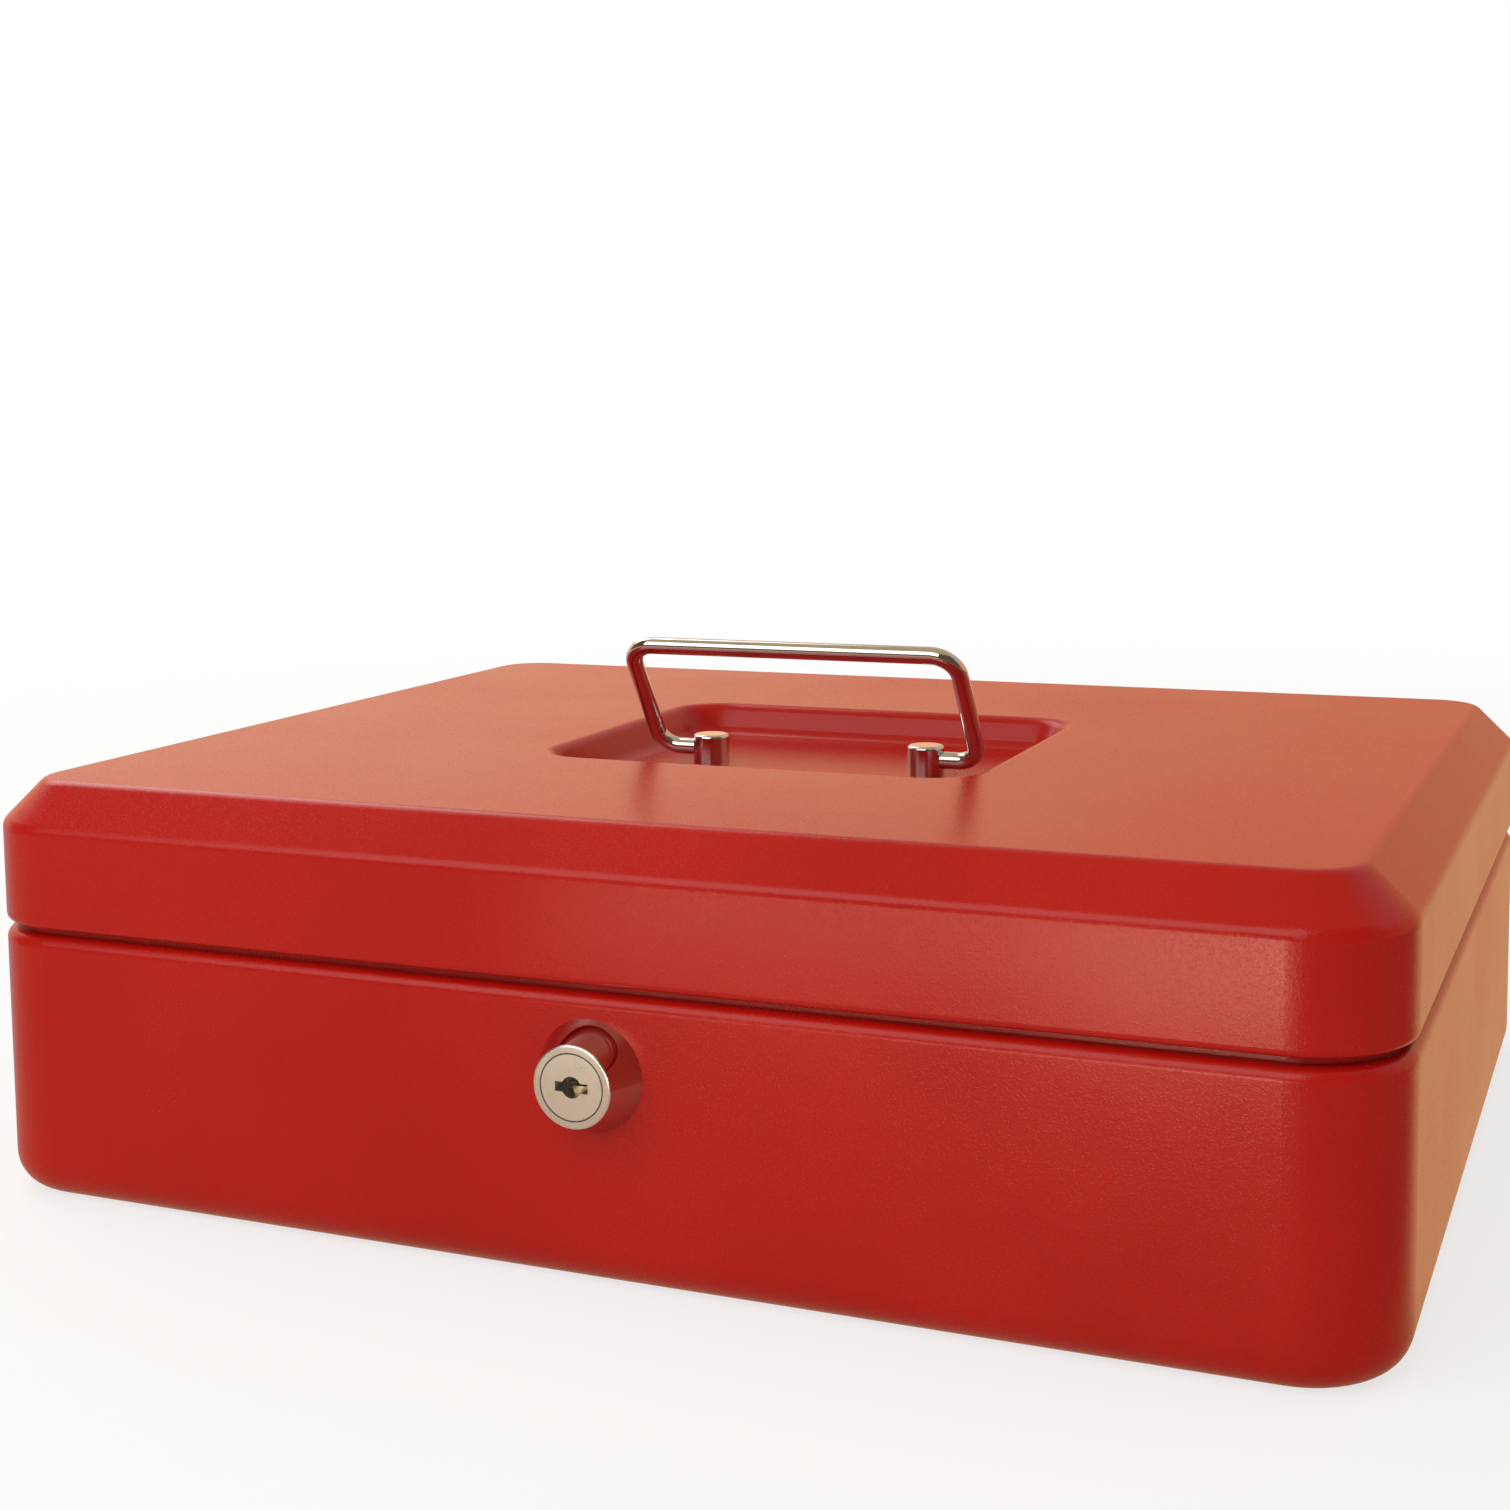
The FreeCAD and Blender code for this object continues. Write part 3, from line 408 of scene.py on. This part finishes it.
# %% Tray plastic
TRAY_GRAIN_SIZE = 0.45 * MM
TRAY_GRAIN_DEPTH = 0.03 * MM
RUB_SIZE = 18 * MM
RUB_EDGES = (0.5, 0.75)
TRAY_ROUGHNESS = 0.52
RUB_POLISH = 0.12
FRESH_BLACK = (0.020, 0.020, 0.022, 1)
RUBBED_BLACK = (0.036, 0.035, 0.035, 1)


def tray_plastic():
    finish = Finish("tray_plastic")
    grain = finish.noise(TRAY_GRAIN_SIZE, detail=2.0)
    rub = finish.between(finish.noise(RUB_SIZE, detail=4.0), *RUB_EDGES)
    shade = finish.blend(rub, FRESH_BLACK, RUBBED_BLACK)
    rough = TRAY_ROUGHNESS - rub * RUB_POLISH
    normal = finish.bump(grain, TRAY_GRAIN_DEPTH, strength=0.5)
    return finish.surface({"Base Color": shade, "Roughness": rough, "Normal": normal})


black_plastic = tray_plastic()
tell(black_plastic)

# %% [markdown]
# ## Dressing the pieces
# The record says which finish each piece takes. The pieces keep their shape, so a
# finish only goes into their material slots. They could be dressed one by one, but a
# loop over the record forgets none of them.

# %% Dress the pieces
finishes = {
    "red_powder_coat": red_coat,
    "bright_chrome": chrome,
    "satin_nickel": nickel,
    "zinc_steel": zinc,
    "brass_wafers": brass,
    "tray_plastic": black_plastic,
}
for part in frame["record"]["subparts"]:
    piece = frame["nodes"][part["node"]]
    if not piece.material_slots:
        piece.data.materials.append(None)
    for slot in piece.material_slots:
        slot.material = finishes[part["material_slot"]]

# %% [markdown]
# ## The floor
# A pale floor carries the box. To the camera it is mostly white by itself, so it
# melts into the background, and the rest of it is plain matt paint that keeps a soft
# shadow. In the paint and the metal it shows as cream in front of the box, as shade
# off its right corner, as warm tan along its right side and as pale grey behind it.
# Coloured cards laid round the box would do the same in a studio; one floor that
# answers each kind of ray keeps them out of the picture.

# %% Floor paint
WHITE = (1, 1, 1, 1)
FLOOR_MATT = (0.90, 0.88, 0.84, 1)
FLOOR_FRONT = (0.61, 0.41, 0.28, 1)
FLOOR_CORNER = (0.20, 0.14, 0.09, 1)
FLOOR_BACK = (0.55, 0.54, 0.52, 1)
FLOOR_SIDE = (1.02, 0.60, 0.28, 1)
# Where one shade gives way to the next, in metres from the middle of the box.
CORNER_FADE = (0.10, 0.18)
SIDE_FADE = (0.08, 0.14)
FRONT_FADE = (-0.13, -0.05)
SHADE_FROM = 0.17
SHADE_SLANT = 1.6
SHADOW_FADE = (0.30, 1.1)
WHITE_SHARE = (0.72, 1.0)


def floor_colour(finish):
    """What gloss sees of the floor; the corner's shade runs off at a slant."""
    across = finish.axis(finish.place, "X")
    along = finish.axis(finish.place, "Y")
    front = finish.blend(finish.between(across, *CORNER_FADE), FLOOR_FRONT, FLOOR_CORNER)
    back = finish.blend(finish.between(across, *SIDE_FADE), FLOOR_BACK, FLOOR_SIDE)
    slant = along - (across - SHADE_FROM).larger(0.0) * SHADE_SLANT
    return finish.blend(finish.between(slant, *FRONT_FADE), front, back)


def floor_paint():
    finish = Finish("floor_paint")
    distance = finish.vector("LENGTH", {0: finish.place}, "Value")
    glossy = finish.ray("Glossy")
    glow = finish.blend(glossy, WHITE, floor_colour(finish))
    light = finish.node("ShaderNodeEmission", {}, {"Color": glow}, "Emission")
    matt = finish.node("ShaderNodeBsdfDiffuse", {}, {"Color": FLOOR_MATT}, "BSDF")
    share = finish.ray("Camera") * finish.between(distance, *SHADOW_FADE, *WHITE_SHARE)
    sockets = {0: share.larger(glossy), 1: matt, 2: light}
    return finish.output(finish.node("ShaderNodeMixShader", {}, sockets))


pale_paint = floor_paint()
tell(pale_paint)

# %% Floor
FLOOR_REACH = 6.0


def lay_floor():
    signs = ((-1, -1), (1, -1), (1, 1), (-1, 1))
    corners = [(x * FLOOR_REACH, y * FLOOR_REACH, 0) for x, y in signs]
    mesh = bpy.data.meshes.new("floor")
    mesh.from_pydata(corners, [], [(0, 1, 2, 3)])
    mesh.materials.append(pale_paint)
    floor = bpy.data.objects.new("floor", mesh)
    scene.collection.objects.link(floor)
    return floor


floor = lay_floor()
print("floor:", floor.dimensions.x, "m wide")

# %% [markdown]
# ## The room
# The world is white to the camera. What the paint and the metal reflect is a studio:
# a wall behind the box, warm below and grey above, a cream ceiling that lifts the
# bevel, and a dim room on the camera's side, so that the front stays deep red and the
# chrome gets its dark streaks. Real walls would need meshes and cast shadows of their
# own, while blends over the ray's direction need neither.

# %% Room
ROOM_LIGHT = (0.55, 0.55, 0.54, 1)
LEFT_WALL = (1.26, 0.80, 0.51, 1)
RIGHT_WALL = (0.98, 0.46, 0.245, 1)
ROOM_SHADE = (0.14, 0.09, 0.05, 1)
UPPER_WALL = (0.62, 0.60, 0.57, 1)
CEILING = (0.62, 0.46, 0.25, 1)
# Where one shade gives way to the next, in a direction's part along X, Y or Z.
WALL_FADE = (-0.6, -0.1)
UPPER_FADE = (0.32, 0.50)
ROOM_FADE = (-0.15, 0.35)
CEILING_FADE = (0.70, 0.90)


def room_colour(web):
    """What gloss sees of the room, from the ray's direction."""
    direction = web.node("ShaderNodeTexCoord", {}, {}, "Generated")
    across, along, up = [web.axis(direction, name) for name in "XYZ"]
    wall = web.blend(web.between(across, *WALL_FADE), LEFT_WALL, RIGHT_WALL)
    wall = web.blend(web.between(up, *UPPER_FADE), wall, UPPER_WALL)
    room = web.blend(web.between(along, *ROOM_FADE), ROOM_SHADE, wall)
    return web.blend(web.between(up, *CEILING_FADE), room, CEILING)


def build_room():
    world = bpy.data.worlds.new("room")
    world.use_nodes = True
    scene.world = world
    web = Web(world.node_tree)
    colour = web.blend(web.ray("Glossy"), ROOM_LIGHT, room_colour(web))
    colour = web.blend(web.ray("Camera"), colour, WHITE)
    background = web.node("ShaderNodeBackground", {}, {"Color": colour}, "Background")
    web.node("ShaderNodeOutputWorld", {}, {"Surface": background})
    return world


room = build_room()
print("room:", room.name)

# %% [markdown]
# ## The lamps
# One soft box hangs high at the left for the lid and one stands in front. Two low
# strips stand close to the front: their blurred reflection is the glare on the right
# half of the lid's front, where the orange peel shows. The strips only shine in gloss,
# so that they don't light the front twice. A sky picture could give such glare too,
# but lamps are easier to place and to change one by one.

# %% Lamps
OVERHEAD_PLACE = (-0.95, 0.45, 1.05)
FRONT_PLACE = (-0.25, -0.95, 0.75)
BOX_MIDDLE = (0, 0, 0.05)
STRIP_LINE = -0.28
STRIP_HEIGHT = 0.037
STRIP_BREADTH = 0.022
STRIP_TINT = (1, 0.86, 0.66)


def hang_lamp(name, place, target, size, watts, tint):
    """An area lamp that faces its target."""
    light = bpy.data.lights.new(name, "AREA")
    light.shape = "RECTANGLE"
    light.size, light.size_y = size
    light.energy = watts
    light.color = tint
    lamp = bpy.data.objects.new(name, light)
    lamp.location = place
    lamp.rotation_mode = "QUATERNION"
    aim = Vector(target) - Vector(place)
    lamp.rotation_quaternion = aim.to_track_quat("-Z", "Y")
    scene.collection.objects.link(lamp)
    return lamp


def stand_strip(name, across, length, watts):
    """A low strip that faces the box and shows only in gloss."""
    place = (across, STRIP_LINE, STRIP_HEIGHT)
    target = (across, 0, STRIP_HEIGHT)
    strip = hang_lamp(name, place, target, (length, STRIP_BREADTH), watts, STRIP_TINT)
    strip.visible_diffuse = False
    return strip


lamps = [
    hang_lamp("overhead", OVERHEAD_PLACE, BOX_MIDDLE, size=(0.9, 0.9), watts=6.5, tint=(1, 1, 1)),
    hang_lamp("front", FRONT_PLACE, BOX_MIDDLE, size=(1.2, 0.8), watts=7.0, tint=(1, 0.97, 0.92)),
    stand_strip("long_strip", across=0.01, length=0.19, watts=0.060),
    stand_strip("short_strip", across=0.09, length=0.07, watts=0.082),
]
print("lamps:", [lamp.name for lamp in lamps])
